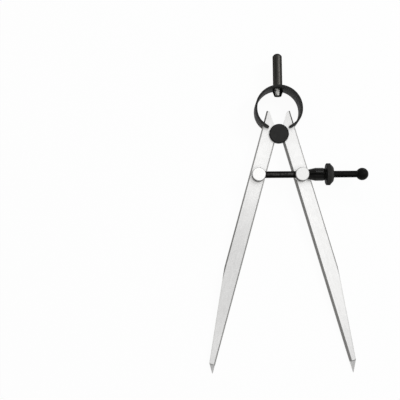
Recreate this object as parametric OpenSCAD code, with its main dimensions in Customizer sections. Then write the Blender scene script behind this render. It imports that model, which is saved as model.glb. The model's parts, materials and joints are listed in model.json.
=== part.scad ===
// Spring-bow divider with a quick-adjusting split nut, lying on its back.
// +X runs along the adjusting screw, +Y towards the finger stud, +Z towards the front.
// The origin is on the swing axis, in the rear face of the fulcrum.

/* [Legs] */
// Width of the flat bar that each leg is cut from
leg_width = 9.3; // [8:0.05:11]
// Thickness of the leg bar
leg_thickness = 3.2; // [2.4:0.1:4]
// Chamfer along the four long edges of the bar
leg_chamfer = 0.8; // [0.2:0.1:1]
// Angle between each leg's inner edge and the centre line
half_opening = 15.8; // [12:0.1:18]
// Swing axis to the scribing point, along the leg
point_reach = 142.7; // [120:0.1:160]
// Swing axis to the upper end of the leg
top_reach = 11.6; // [10:0.1:12.5]
// Inner edge to the swing axis
inner_edge_offset = 1; // [0.5:0.05:1.4]
// Swing axis to the start of the taper on the outer edge
taper_start = 83; // [60:0.1:100]
// Angle of the taper on the outer edge
taper_angle = 6.2; // [4:0.1:7]
// Angle of the cut that clears the other leg above the fulcrum
top_cut_angle = 33.5; // [31:0.5:35]
// Length of the left leg's ground point
left_point_length = 5.2; // [3:0.1:8]
// Length of the right leg's ground point
right_point_length = 6.8; // [3:0.1:8]
// Width left on the end of the point
point_flat = 0.25; // [0.15:0.05:0.5]
// Inner edge to the point, so that the two points meet when closed
point_inset = 0.05; // [0.05:0.05:0.4]

/* [Fulcrum] */
// Diameter of the head
fulcrum_head_d = 11.3; // [10:0.1:13]
// Diameter of the rear cap
fulcrum_cap_d = 9.8; // [9:0.1:12]
// Thickness of the head
fulcrum_head_t = 2.6; // [1:0.1:4]
// Thickness of the rear cap
fulcrum_cap_t = 1.35; // [1:0.05:2]
// Diameter of the core that the legs roll on
fulcrum_core_d = 7; // [5:0.1:8]
// Diameter of the tenon that holds the rear cap
fulcrum_tenon_d = 3.6; // [2.5:0.1:4.5]
// Depth of the tenon in the rear cap
fulcrum_tenon_depth = 0.9; // [0.5:0.05:0.95]
// Chamfer round the rims of the fulcrum
fulcrum_chamfer = 0.35; // [0.1:0.05:0.6]

/* [Bow spring] */
// Outer diameter of the bow
bow_outer_d = 27.6; // [25:0.1:32]
// Angle from the crown of the bow to where its ends curl in
bow_curl_start = 100; // [92:1:112]
// Outer diameter of the curled ends
bow_curl_d = 23.5; // [22:0.1:25]
// Thickness of the spring strip
strip_thickness = 1.15; // [0.8:0.05:1.8]
// Width of the spring strip, front to rear
strip_width = 13.3; // [9:0.1:15]
// Swing axis to the centre of the bow
bow_centre = 14.5; // [13:0.1:17]
// Gap from the forked ends to the rim of the fulcrum
fork_end_gap = 1.3; // [0.6:0.1:2]

/* [Finger stud] */
// Diameter of the finger stud
stud_d = 5.5; // [4.5:0.05:6.5]
// Length of the stud above the bow
stud_length = 20; // [14:0.1:30]
// Diameter of the flat on the end of the stud
stud_end_d = 2.8; // [2:0.1:4]
// Length of the cone on the end of the stud
stud_cone = 1.6; // [0.8:0.1:3]
// Diameter of the foot that sits on the bow
stud_foot_d = 4.4; // [4:0.1:4.4]
// Height of the chamfer above the foot
stud_foot_chamfer = 0.6; // [0.3:0.1:1.5]
// Diameter of the tenon that passes through the bow
stud_tenon_d = 3; // [2.4:0.1:3.6]
// Distance across the flats of the hexagon nut inside the bow
stud_nut_flats = 5.2; // [5:0.1:5.6]
// Height of the nut
stud_nut_h = 4; // [3:0.1:5]
// Diameter of the nut's lower face
stud_nut_end_d = 4.1; // [3.9:0.1:4.6]
// Half angle of the bevel round the nut's lower end
stud_nut_bevel = 21; // [15:1:30]
// Turn of the nut's front flat towards the left
stud_nut_turn = 14; // [0:1:30]

/* [Posts] */
// Swing axis to the post, along the leg
post_reach = 26.75; // [22:0.05:34]
// Swing axis to the post, across the leg
post_offset = 5.35; // [5:0.05:5.6]
// Diameter of the post's head
post_d = 7.8; // [7:0.1:8.6]
// Material above the seat of the nose
post_cover = 0.5; // [0.4:0.05:1.5]
// Chamfer round the top of the post
post_chamfer = 0.35; // [0.1:0.05:0.5]
// Diameter of the shank in the leg
post_shank_d = 4.8; // [4:0.1:5.4]
// Diameter of the peened end behind the leg
post_rivet_d = 6.2; // [5.6:0.1:7]
// Thickness of the peened end
post_rivet_t = 0.8; // [0.5:0.05:1.2]
// Diameter of the washers on both faces of the leg
washer_d = 7.4; // [7.2:0.1:8.8]
// Thickness of each washer
washer_t = 0.4; // [0.3:0.05:0.6]

/* [Adjusting screw] */
// Diameter over the thread
screw_d = 3.9; // [3:0.1:4.2]
// Anchor post to the centre of the end ball
screw_reach = 59.5; // [54:0.05:70]
// Diameter of the end ball
ball_d = 7.2; // [6:0.1:9]
// Diameter of the ball's stem
ball_stem_d = 2; // [1.4:0.1:2.4]
// Length of the stem in the screw
ball_stem_length = 4; // [2:0.1:6]
// Material left behind the blind hole in the anchor post
anchor_wall = 0.9; // [0.6:0.1:1.4]
// Diameter of the pin that locks the screw in the anchor post
lock_pin_d = 1.3; // [0.8:0.1:1.6]

/* [Split nut] */
// Diameter of the two jaws
jaw_d = 7.48; // [6.8:0.02:8.4]
// Length of the parallel part of the jaws
jaw_land = 4.25; // [2:0.05:8]
// Diameter of the tapered nose at the mouth of its seat
nose_mouth_d = 5.8; // [5.4:0.1:6.2]
// Half angle of the tapered nose
nose_angle = 12.7; // [8:0.1:20]
// Depth of the nose in the guide post
nose_depth = 1.5; // [0.6:0.1:1.6]
// Width of the split between the jaws
split_width = 0.4; // [0.2:0.05:0.8]
// Diameter of the jaws at their rear edge
jaw_rear_d = 6.7; // [6.4:0.1:6.8]
// Length of the bevel behind the jaws
jaw_rear_bevel = 1.35; // [0.5:0.05:1.6]
// Diameter of the tail that carries the collar
tail_d = 5.8; // [5.2:0.1:6]
// Diameter of the wire of the jaw spring
ring_wire_d = 0.48; // [0.3:0.02:0.6]
// Mouth of the jaw spring, as an angle
ring_mouth = 40; // [20:1:80]

/* [Thumb collar] */
// Diameter over the knurl
collar_d = 12.64; // [11:0.02:15]
// Width of the knurled rim
collar_land = 2.1; // [1.2:0.1:4]
// Width of the bevel on the side of the jaws
collar_front_bevel = 0.3; // [0.2:0.05:1]
// Diameter of the face on the side of the jaws
collar_front_d = 12; // [10:0.1:12]
// Width of the bevel on the side of the ball
collar_rear_bevel = 1.7; // [1:0.1:2.5]
// Diameter of the face on the side of the ball
collar_rear_d = 8.6; // [7.5:0.1:10]
// Thickness of the web behind the tail of the jaws
collar_web = 1; // [0.6:0.1:1.5]

/* [Fits] */
// Radial play of a piece that turns
running_clearance = 0.05; // [0.02:0.01:0.1]
// Radial gap of a piece that is fixed in its hole
fixed_clearance = 0.02; // [0.01:0.01:0.04]
// Play along an axis
axial_play = 0.05; // [0.02:0.01:0.1]
// Gap between the thread and a plain hole
thread_clearance = 0.2; // [0.1:0.05:0.3]
// Gap between the fork of the bow and the leg
fork_clearance = 0.15; // [0.1:0.05:0.3]
// Gap between the jaws and the front of the leg
jaw_leg_gap = 0.26; // [0.2:0.02:0.6]

/* [Hidden] */
$fn = 64;

// A cut runs past the surface that it opens by this much
past = 1;

// Levels from the rear face of the fulcrum to the top of the posts
leg_rear_z = fulcrum_cap_t + axial_play;
leg_mid_z = leg_rear_z + leg_thickness / 2;
leg_front_z = leg_rear_z + leg_thickness;
head_rear_z = leg_front_z + axial_play;
screw_z = leg_front_z + jaw_d / 2 + jaw_leg_gap;
post_top_z = screw_z + nose_mouth_d / 2 + post_cover;
post_seat_z = leg_front_z + washer_t + axial_play;
rivet_front_z = leg_rear_z - washer_t - axial_play;

// The leg in its own frame: the point is down the Y axis, the outer edge towards +X
leg_outer = inner_edge_offset + leg_width;
top_cut_x = inner_edge_offset + top_reach * tan(top_cut_angle);

// The posts stand near the middle of each leg
post_x = post_offset * cos(half_opening) + post_reach * sin(half_opening);
post_y = post_offset * sin(half_opening) - post_reach * cos(half_opening);

// The bow and the centre of its curled right end
bow_outer_r = bow_outer_d / 2;
bow_inner_r = bow_outer_r - strip_thickness;
curl_outer_r = bow_curl_d / 2;
curl_mid_r = curl_outer_r - strip_thickness / 2;
curl_x = (bow_outer_r - curl_outer_r) * sin(bow_curl_start);
curl_y = bow_centre + (bow_outer_r - curl_outer_r) * cos(bow_curl_start);

// The forked end stops short of the fulcrum, at this angle from the crown
fork_reach = fulcrum_head_d / 2 + fork_end_gap;
curl_reach = norm([curl_x, curl_y]);
fork_side = pow(curl_mid_r, 2) + pow(curl_reach, 2) - pow(fork_reach, 2);
fork_end_angle = 180 + atan2(curl_x, curl_y) - acos(fork_side / (2 * curl_mid_r * curl_reach));

// The stud and its nut on the bow
bow_top_y = bow_centre + bow_outer_r;
stud_nut_r = stud_nut_flats / sqrt(3);
stud_nut_top_y = bow_centre + sqrt(pow(bow_inner_r, 2) - pow(stud_nut_r, 2)) - fixed_clearance;
stud_nut_end_y = stud_nut_top_y - stud_nut_h;

// The stem of the ball, from the axis of the anchor post
ball_stem_start = screw_reach - ball_d / 2 - ball_stem_length;

// The split nut along the screw, from the axis of the guide post
post_r = post_d / 2;
jaw_r = jaw_d / 2;
nose_start = post_r - nose_depth;
nose_slope = tan(nose_angle);
nose_start_r = nose_mouth_d / 2 - nose_depth * nose_slope;
nose_end = post_r + (jaw_r - nose_mouth_d / 2) / nose_slope;
jaw_land_end = nose_end + jaw_land;
jaw_rear = jaw_land_end + jaw_rear_bevel;
collar_front = jaw_rear + ring_wire_d + axial_play;
collar_rear = collar_front + collar_front_bevel + collar_land + collar_rear_bevel;
web_front = collar_rear - collar_web;
tail_end = web_front - axial_play;
screw_hole_r = screw_d / 2 + thread_clearance;

module on_leg(side) {
    mirror([side < 0 ? 1 : 0, 0, 0])
        rotate([0, 0, half_opening])
            children();
}

module on_post(side) {
    translate([side * post_x, post_y, 0])
        children();
}

// Round stock along +X at the height of the screw
module along_screw() {
    translate([0, 0, screw_z])
        rotate([0, 90, 0])
            children();
}

module leg_outline(point_start) {
    taper_end_x = leg_outer - (point_start - taper_start) * tan(taper_angle);
    polygon([
        [inner_edge_offset, 0],
        [top_cut_x, top_reach],
        [leg_outer, top_reach],
        [leg_outer, -taper_start],
        [taper_end_x, -point_start],
        [inner_edge_offset + point_inset + point_flat, -point_reach],
        [inner_edge_offset + point_inset, -point_reach],
        [inner_edge_offset, -point_start],
    ]);
}

module leg_section() {
    polygon([
        [inner_edge_offset, leg_rear_z + leg_chamfer],
        [inner_edge_offset + leg_chamfer, leg_rear_z],
        [leg_outer - leg_chamfer, leg_rear_z],
        [leg_outer, leg_rear_z + leg_chamfer],
        [leg_outer, leg_front_z - leg_chamfer],
        [leg_outer - leg_chamfer, leg_front_z],
        [inner_edge_offset + leg_chamfer, leg_front_z],
        [inner_edge_offset, leg_front_z - leg_chamfer],
    ]);
}

module leg_side_view(point_start) {
    polygon([
        [top_reach, leg_rear_z],
        [top_reach, leg_front_z],
        [-point_start, leg_front_z],
        [-point_reach, leg_mid_z + point_flat / 2],
        [-point_reach, leg_mid_z - point_flat / 2],
        [-point_start, leg_rear_z],
    ]);
}

// The chamfered bar, cut to its outline and ground to a point
module leg_blank(point_start) {
    intersection() {
        translate([0, 0, leg_rear_z])
            linear_extrude(leg_thickness)
                leg_outline(point_start);
        translate([0, top_reach + past, 0])
            rotate([90, 0, 0])
                linear_extrude(top_reach + point_reach + 2 * past)
                    leg_section();
        rotate([90, 0, 90])
            linear_extrude(leg_outer + past)
                leg_side_view(point_start);
    }
}

module leg(side, point_length) {
    on_leg(side)
        difference() {
            leg_blank(point_reach - point_length);
            translate([0, 0, leg_rear_z - past])
                cylinder(d = fulcrum_core_d + 2 * running_clearance, h = leg_thickness + 2 * past);
            translate([post_offset, -post_reach, leg_rear_z - past])
                cylinder(d = post_shank_d + 2 * running_clearance, h = leg_thickness + 2 * past);
        }
}

module left_leg() {
    color("gainsboro")
        leg(-1, left_point_length);
}

module right_leg() {
    color("gainsboro")
        leg(1, right_point_length);
}

// A disc with a chamfer round its upper rim
module chamfered_disc(d, h, chamfer) {
    cylinder(d = d, h = h - chamfer);
    translate([0, 0, h - chamfer])
        cylinder(d1 = d, d2 = d - 2 * chamfer, h = chamfer);
}

// Head in front of the legs, core between them and tenon for the rear cap
module fulcrum_pin() {
    color("dimgray") {
        translate([0, 0, head_rear_z])
            chamfered_disc(fulcrum_head_d, fulcrum_head_t, fulcrum_chamfer);
        translate([0, 0, fulcrum_cap_t])
            cylinder(d = fulcrum_core_d, h = head_rear_z - fulcrum_cap_t);
        translate([0, 0, fulcrum_cap_t - fulcrum_tenon_depth])
            cylinder(d = fulcrum_tenon_d, h = fulcrum_tenon_depth);
    }
}

module fulcrum_rear_cap() {
    color("dimgray")
        difference() {
            translate([0, 0, fulcrum_cap_t])
                rotate([180, 0, 0])
                    chamfered_disc(fulcrum_cap_d, fulcrum_cap_t, fulcrum_chamfer);
            translate([0, 0, fulcrum_cap_t - fulcrum_tenon_depth - fixed_clearance])
                cylinder(d = fulcrum_tenon_d + 2 * fixed_clearance, h = fulcrum_tenon_depth + past);
        }
}

// The space that the fork leaves for a leg and its play
module fork_slot(side) {
    on_leg(side)
        translate([0, -bow_outer_r, leg_rear_z - fork_clearance])
            cube([
                leg_outer + fork_clearance,
                bow_outer_r + top_reach,
                leg_thickness + 2 * fork_clearance,
            ]);
}

// A point seen from a centre, at an angle from the crown
function from_crown(centre, angle, distance) = centre + distance * [sin(angle), cos(angle)];

// What the bow goes round, drawn in by the given depth: a wide crown on two tighter ends
module bow_area(depth) {
    crown = [0, bow_centre];
    intersection() {
        translate(crown)
            circle(r = bow_outer_r - depth, $fn = 128);
        polygon([
            crown,
            from_crown(crown, bow_curl_start, bow_outer_d),
            from_crown(crown, 45, 2 * bow_outer_d),
            from_crown(crown, -45, 2 * bow_outer_d),
            from_crown(crown, -bow_curl_start, bow_outer_d),
        ]);
    }
    for (side = [-1, 1])
        translate([side * curl_x, curl_y])
            circle(r = curl_outer_r - depth, $fn = 128);
}

// A strip rolled into an open bow, with curled ends that are forked round the legs
module bow_spring() {
    color("dimgray")
        difference() {
            translate([0, 0, leg_mid_z - strip_width / 2])
                linear_extrude(strip_width)
                    difference() {
                        bow_area(0);
                        bow_area(strip_thickness);
                        polygon([
                            [curl_x, curl_y],
                            from_crown([curl_x, curl_y], fork_end_angle, bow_outer_d),
                            from_crown([-curl_x, curl_y], -fork_end_angle, bow_outer_d),
                            [-curl_x, curl_y],
                        ]);
                    }
            for (side = [-1, 1])
                fork_slot(side);
            translate([0, bow_top_y + past, leg_mid_z])
                rotate([90, 0, 0])
                    cylinder(d = stud_tenon_d + 2 * fixed_clearance, h = strip_thickness + 2 * past);
        }
}

// Round stock down the Y axis from the given height
module down_from(y) {
    translate([0, y, leg_mid_z])
        rotate([90, 0, 0])
            children();
}

// Straight stud with a coned end and a chamfered foot, hollowed below to sit on the bow
module finger_stud() {
    cone_y = bow_top_y + stud_length - stud_cone;
    foot_y = bow_top_y + stud_foot_chamfer;
    color("dimgray") {
        difference() {
            union() {
                down_from(bow_top_y + stud_length)
                    cylinder(d1 = stud_end_d, d2 = stud_d, h = stud_cone);
                down_from(cone_y)
                    cylinder(d = stud_d, h = cone_y - foot_y);
                down_from(foot_y)
                    cylinder(d1 = stud_d, d2 = stud_foot_d, h = stud_foot_chamfer);
                down_from(bow_top_y)
                    cylinder(d = stud_foot_d, h = strip_thickness);
            }
            translate([0, bow_centre, leg_mid_z - stud_d])
                cylinder(r = bow_outer_r + fixed_clearance, h = 2 * stud_d, $fn = 128);
        }
        down_from(bow_top_y + strip_thickness)
            cylinder(d = stud_tenon_d, h = bow_top_y + strip_thickness - stud_nut_end_y);
    }
}

// Hexagon nut with a bevelled lower end, screwed on the tenon inside the bow
module stud_nut() {
    end_r = stud_nut_end_d / 2;
    bevel_r = end_r + stud_nut_h * tan(stud_nut_bevel);
    color("silver")
        difference() {
            intersection() {
                down_from(stud_nut_top_y)
                    rotate([0, 0, stud_nut_turn])
                        linear_extrude(stud_nut_h)
                            polygon([for (k = [0:5]) stud_nut_r * [cos(60 * k), sin(60 * k)]]);
                down_from(stud_nut_top_y)
                    cylinder(r1 = bevel_r, r2 = end_r, h = stud_nut_h);
            }
            down_from(stud_nut_top_y + past)
                cylinder(d = stud_tenon_d + 2 * fixed_clearance, h = stud_nut_h + 2 * past);
        }
}

// Head in front of the leg, shank through it and peened end behind it
module post_blank() {
    translate([0, 0, post_seat_z])
        chamfered_disc(post_d, post_top_z - post_seat_z, post_chamfer);
    translate([0, 0, rivet_front_z])
        cylinder(d = post_shank_d, h = post_seat_z - rivet_front_z);
    translate([0, 0, rivet_front_z - post_rivet_t])
        cylinder(d = post_rivet_d, h = post_rivet_t);
}

// Round stock square to the screw, through its axis
module across_screw(d, length) {
    translate([0, length / 2, screw_z])
        rotate([90, 0, 0])
            cylinder(d = d, h = length);
}

module lock_pin_bore() {
    across_screw(lock_pin_d + 2 * fixed_clearance, post_d + 2 * past);
}

// Holds the screw in a blind hole
module anchor_post() {
    color("whitesmoke")
        on_post(-1)
            difference() {
                post_blank();
                translate([anchor_wall - post_r, 0, 0])
                    along_screw()
                        cylinder(d = screw_d + 2 * fixed_clearance, h = post_d);
                lock_pin_bore();
            }
}

// Lets the screw slide through and seats the nose of the split nut
module guide_post() {
    seat_start_r = nose_start_r + running_clearance;
    seat_length = nose_depth + past;
    seat_end_r = seat_start_r + seat_length * nose_slope;
    color("whitesmoke")
        on_post(1)
            difference() {
                post_blank();
                translate([-post_d, 0, 0])
                    along_screw()
                        cylinder(r = screw_hole_r, h = 2 * post_d);
                translate([nose_start - axial_play, 0, 0])
                    along_screw()
                        cylinder(r1 = seat_start_r, r2 = seat_end_r, h = seat_length);
            }
}

// Flat washer between a leg and its post
module washer(side, z) {
    color("dimgray")
        on_post(side)
            translate([0, 0, z])
                difference() {
                    cylinder(d = washer_d, h = washer_t);
                    translate([0, 0, -past])
                        cylinder(d = post_shank_d + 2 * running_clearance, h = washer_t + 2 * past);
                }
}

module anchor_front_washer() {
    washer(-1, leg_front_z);
}

module anchor_rear_washer() {
    washer(-1, leg_rear_z - washer_t);
}

module guide_front_washer() {
    washer(1, leg_front_z);
}

module guide_rear_washer() {
    washer(1, leg_rear_z - washer_t);
}

// Fixed in the anchor post, bored and cupped at the other end for the ball
module adjusting_screw() {
    screw_start = anchor_wall - post_r + axial_play;
    color("black")
        on_post(-1)
            difference() {
                translate([screw_start, 0, 0])
                    along_screw()
                        cylinder(d = screw_d, h = screw_reach - screw_start);
                translate([screw_reach, 0, screw_z])
                    sphere(r = ball_d / 2 + fixed_clearance);
                translate([ball_stem_start - axial_play, 0, 0])
                    along_screw()
                        cylinder(d = ball_stem_d + 2 * fixed_clearance, h = ball_d + ball_stem_length);
                lock_pin_bore();
            }
}

module screw_lock_pin() {
    color("gray")
        on_post(-1)
            across_screw(lock_pin_d, post_d - 2 * post_chamfer);
}

// Ball with a stem that is pressed into the screw
module end_ball() {
    color("black")
        on_post(-1) {
            translate([screw_reach, 0, screw_z])
                sphere(d = ball_d);
            translate([ball_stem_start, 0, 0])
                along_screw()
                    cylinder(d = ball_stem_d, h = screw_reach - ball_stem_start);
        }
}

// Half of the split nut: nose, parallel land, rear bevel and tail
module jaw(side) {
    color("black")
        on_post(1)
            difference() {
                along_screw()
                    rotate_extrude()
                        polygon([
                            [screw_d / 2 + running_clearance, nose_start],
                            [nose_start_r, nose_start],
                            [jaw_r, nose_end],
                            [jaw_r, jaw_land_end],
                            [jaw_rear_d / 2, jaw_rear],
                            [tail_d / 2, jaw_rear],
                            [tail_d / 2, tail_end],
                            [screw_d / 2 + running_clearance, tail_end],
                        ]);
                translate([0, side > 0 ? split_width / 2 - jaw_d : -split_width / 2, screw_z - jaw_d])
                    cube([tail_end + past, jaw_d, 2 * jaw_d]);
            }
}

module upper_jaw() {
    jaw(1);
}

module lower_jaw() {
    jaw(-1);
}

// Open wire ring round the tails, between the jaws and the collar
module jaw_spring() {
    ring_r = tail_d / 2 + fixed_clearance + ring_wire_d / 2;
    color("silver")
        on_post(1)
            translate([jaw_rear + axial_play / 2 + ring_wire_d / 2, 0, 0])
                along_screw()
                    rotate([0, 0, ring_mouth / 2])
                        rotate_extrude(angle = 360 - ring_mouth)
                            translate([ring_r, 0])
                                circle(d = ring_wire_d);
}

// Knurled collar on the tails of the jaws
module thumb_collar() {
    tail_hole_r = tail_d / 2 + fixed_clearance;
    land_start = collar_front + collar_front_bevel;
    color("dimgray")
        on_post(1)
            along_screw()
                rotate_extrude()
                    polygon([
                        [tail_hole_r, collar_front],
                        [collar_front_d / 2, collar_front],
                        [collar_d / 2, land_start],
                        [collar_d / 2, land_start + collar_land],
                        [collar_rear_d / 2, collar_rear],
                        [screw_hole_r, collar_rear],
                        [screw_hole_r, web_front],
                        [tail_hole_r, web_front],
                    ]);
}

left_leg();
right_leg();
fulcrum_pin();
fulcrum_rear_cap();
bow_spring();
finger_stud();
stud_nut();
anchor_post();
anchor_front_washer();
anchor_rear_washer();
guide_post();
guide_front_washer();
guide_rear_washer();
adjusting_screw();
screw_lock_pin();
end_ball();
upper_jaw();
lower_jaw();
jaw_spring();
thumb_collar();
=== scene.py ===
import json
import math
from collections import namedtuple

import bmesh
import bpy
from mathutils import Matrix, Vector

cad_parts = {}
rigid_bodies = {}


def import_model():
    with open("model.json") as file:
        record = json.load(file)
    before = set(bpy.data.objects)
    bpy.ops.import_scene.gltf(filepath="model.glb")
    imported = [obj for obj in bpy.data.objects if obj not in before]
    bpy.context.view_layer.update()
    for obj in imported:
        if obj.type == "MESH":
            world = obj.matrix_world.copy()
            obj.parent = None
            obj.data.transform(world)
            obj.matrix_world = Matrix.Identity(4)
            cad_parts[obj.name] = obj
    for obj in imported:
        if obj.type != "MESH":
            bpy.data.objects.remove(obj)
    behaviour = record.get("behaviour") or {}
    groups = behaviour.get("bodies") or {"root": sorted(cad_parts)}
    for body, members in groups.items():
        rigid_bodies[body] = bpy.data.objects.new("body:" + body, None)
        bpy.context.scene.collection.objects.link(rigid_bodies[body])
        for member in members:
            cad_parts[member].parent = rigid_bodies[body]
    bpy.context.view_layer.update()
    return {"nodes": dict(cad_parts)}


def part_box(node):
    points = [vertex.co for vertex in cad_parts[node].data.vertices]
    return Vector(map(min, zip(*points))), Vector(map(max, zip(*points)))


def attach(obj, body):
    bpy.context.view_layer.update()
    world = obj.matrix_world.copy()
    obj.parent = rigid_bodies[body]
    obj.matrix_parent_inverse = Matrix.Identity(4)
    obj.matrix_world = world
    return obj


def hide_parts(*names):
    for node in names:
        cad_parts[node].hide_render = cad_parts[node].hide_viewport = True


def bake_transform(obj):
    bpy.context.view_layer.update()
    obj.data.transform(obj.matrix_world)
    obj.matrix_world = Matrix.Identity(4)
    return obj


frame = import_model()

# A spring bow divider on its back. X runs along the screw, Y from the points to the stud, and Z
# out of the front. The origin lies on the axis of the fulcrum.
MM = 0.001
scene = bpy.context.scene
nodes = frame["nodes"]

# Sizes of the solids, in millimetres and radians
HALF_OPENING = math.radians(15.8)
LEG_INNER = 1.0
LEG_OUTER = 10.3
LEG_MID_Z = 3.0
TAPER_START = 83.0
TAPER_ANGLE = math.radians(6.2)
FULCRUM_R = 5.65

BOW_CENTRE_Y = 14.5
BOW_OUTER_R = 13.8
CURL_START = math.radians(100)
CURL_OUTER_R = 11.75
STRIP_THICKNESS = 1.15
STRIP_WIDTH = 13.3
FORK_START = math.radians(138.1)
FORK_END = math.radians(159.65)
FORK_SLOT = 3.5
TENON_HOLE_R = 1.52

STUD_R = 2.75
STUD_FOOT_R = 2.2
STUD_TENON_R = 1.5
STUD_CONE = 1.6
NUT_TURN = math.radians(14)
NUT_END_Y = 22.77

POST_X = 12.431363
POST_Y = -24.282632
POST_TOP_Z = 12.0
POST_CHAMFER = 0.35
SCREW_Z = 8.6
SCREW_R = 1.95
BALL_R = 3.6

COLLAR_R = 6.32
COLLAR_BEVEL = 0.3
COLLAR_LAND = 2.1
COLLAR_REAR_R = 4.3
COLLAR_WEB = 1.0
COLLAR_BORE_R = 2.92
COLLAR_WEB_R = 2.15

# What the solids leave plain, in millimetres: the strip's rims and fork, the knurls, the thread,
# and where the black neck of a post starts and ends. Corners closer than MERGE become one.
STRIP_RIM_R = 0.28
FORK_TIP_R = 2.2
FORK_ROOT_R = 0.45
STUD_CORE_R = STUD_R - 0.03
BALL_CORE_R = BALL_R - 0.04
COLLAR_CORE_R = COLLAR_R - 0.2
COLLAR_FRONT_R = 5.95
THREAD_PITCH = 0.7
THREAD_DEPTH = 0.4
POST_NECK_TOP = 11.4
POST_NECK_FOOT = 7.4
MERGE = 1e-4

# The long edges of a leg: their painted shade, how wide, and how much painted light they get below
# the fulcrum. A leg's face gets painted shade down its length, and by another share near its point.
LegEdge = namedtuple("LegEdge", "tone width rubbed")
LegLook = namedtuple("LegLook", "mirrored point_start inner outer dulled tip_dulled")
# Painted shade and light: on each leg the edge that faces right is lighter, and the left leg's face
# is darker.
LEFT_LOOK = LegLook(
    mirrored=True, point_start=137.5, inner=LegEdge(0.46, 0.75, 1.0),
    outer=LegEdge(0.3, 0.8, 0.3), dulled=0.34, tip_dulled=0.27)
RIGHT_LOOK = LegLook(
    mirrored=False, point_start=135.9, inner=LegEdge(0.3, 1.3, 0.0),
    outer=LegEdge(0.42, 0.55, 0.6), dulled=0.09, tip_dulled=0.15)

# Colours of the finishes
BLACK = (0.0, 0.0, 0.0)
FACE_DARK = (0.75, 0.747, 0.74)
FACE_LIGHT = (0.94, 0.937, 0.93)
FACE_CLOUD = (0.64, 0.635, 0.63)
FACE_STREAK = (0.95, 0.947, 0.94)
# Painted shade along the outer rim of a leg's face
FACE_RIM_SHADE = (0.5, 0.495, 0.485)
# The legs' edges: grey painted shade, its grain, and painted light
EDGE_SHADE_TINT = (1.0, 0.99, 0.96)
EDGE_GRAIN = (0.6, 0.595, 0.58)
EDGE_PAINTED_LIGHT = (0.86, 0.855, 0.84)
POINT_DARK = (0.74, 0.738, 0.73)
POINT_LIGHT = (0.92, 0.917, 0.91)
POINT_BURR = (0.2, 0.2, 0.195)
POST_TINT = (1.0, 1.0, 0.99)
# A post's chamfer and neck carry painted shade, grey and black.
POST_CHAMFER_SHADE = (0.68, 0.675, 0.665)
NECK_DARK = (0.01, 0.01, 0.01)
NECK_LIGHT = (0.03, 0.03, 0.029)
WORN_STEEL = (0.34, 0.335, 0.325)
STUD_GLINT = (0.1, 0.1, 0.1)
NUT_DARK = (0.003, 0.003, 0.003)
NUT_LIGHT = (0.009, 0.009, 0.009)
NUT_FLAT_DARK = (0.5, 0.495, 0.47)
NUT_FLAT_LIGHT = (0.88, 0.875, 0.85)
WIRE_TINT = (1.0, 1.0, 0.97)

# Camera, floor and lamps, with places in metres, the lens in millimetres and the camera's turn in
# degrees. The floor rises from the bow to the points.
CAMERA_LENS = 69.5854
CAMERA_SENSOR = 36.0
CAMERA_PLACE = (-0.047522, -0.082086, 0.449151)
CAMERA_TURN = (5.63837, -0.12197, -0.44881)
FLOOR_R = 3.0
FLOOR_SWEEP_R = 0.4
FLOOR_PLACE = (-0.04, 0.0037, -0.00366)
FLOOR_SLOPE = math.atan2(-0.006525, 0.1407)
FLOOR_GREY = (0.9, 0.9, 0.9)
FLOOR_WHITE = (1.0, 1.0, 1.0)
FLOOR_WHITE_SHARE = 0.95
Lamp = namedtuple("Lamp", "place width height watts")
OVERHEAD = Lamp(place=(0.02, -0.13, 1.0), width=0.6, height=0.6, watts=2.4)
LEG_FILL = Lamp(place=(0.1, 0.2, 1.0), width=0.6, height=0.6, watts=0.76)
RIGHT_LAMP = Lamp(place=(0.68, 0.3, 0.76), width=0.12, height=0.4, watts=3.8)
BACK_LAMP = Lamp(place=(0.16, 0.8, 0.74), width=0.22, height=0.22, watts=2.0)
ROOM_LIGHT = 0.3


# Helpers for meshes

def new_piece(name, work):
    """Turns a bmesh into an object of the scene."""
    mesh = bpy.data.meshes.new(name)
    work.to_mesh(mesh)
    work.free()
    piece = bpy.data.objects.new(name, mesh)
    scene.collection.objects.link(piece)
    return piece


def settled(piece):
    """Turns what the modifiers make into the piece's plain mesh."""
    graph = bpy.context.evaluated_depsgraph_get()
    blank = piece.data
    piece.data = bpy.data.meshes.new_from_object(piece.evaluated_get(graph))
    piece.modifiers.clear()
    bpy.data.meshes.remove(blank)
    piece.data.name = piece.name
    return piece


def smoothed(piece, angle=30):
    """Shades the mesh smooth, with sharp edges above the angle."""
    piece.data.shade_smooth()
    piece.data.set_sharp_from_angle(angle=math.radians(angle))
    return piece


def placed(piece, matrix):
    """Moves the mesh to its place, in millimetres, and scales it to metres."""
    piece.data.transform(Matrix.Scale(MM, 4) @ matrix)
    return piece


def merge(work):
    """Merges corners that meet, and turns the faces outwards."""
    bmesh.ops.remove_doubles(work, verts=work.verts[:], dist=MERGE)
    bmesh.ops.recalc_face_normals(work, faces=work.faces[:])


def ringed(work, profile, around):
    """Rings of corners about the X axis, for a profile of (place, radius) pairs."""
    angles = [2 * math.pi * k / around for k in range(around)]
    rings = []
    for x, r in profile:
        rings.append([work.verts.new((x, r * math.cos(a), r * math.sin(a))) for a in angles])
    return rings


def bridge(work, near, far):
    """Joins two rings with four-sided faces."""
    for k in range(len(near)):
        after = (k + 1) % len(near)
        work.faces.new((near[k], near[after], far[after], far[k]))


def turned(name, profile, around=96, bored=False):
    """Turns a profile about the X axis. A bored profile is a closed loop."""
    work = bmesh.new()
    rings = ringed(work, profile, around)
    for near, far in zip(rings, rings[1:]):
        bridge(work, near, far)
    if bored:
        bridge(work, rings[-1], rings[0])
    merge(work)
    return new_piece(name, work)


def broken_edges(piece, width):
    """Takes the sharpness off the edges of a turned blank."""
    bevel = piece.modifiers.new("broken edges", "BEVEL")
    bevel.width = width
    bevel.segments = 2
    bevel.limit_method = "ANGLE"
    bevel.angle_limit = math.radians(25)
    return settled(piece)


# Helpers for node trees

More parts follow.
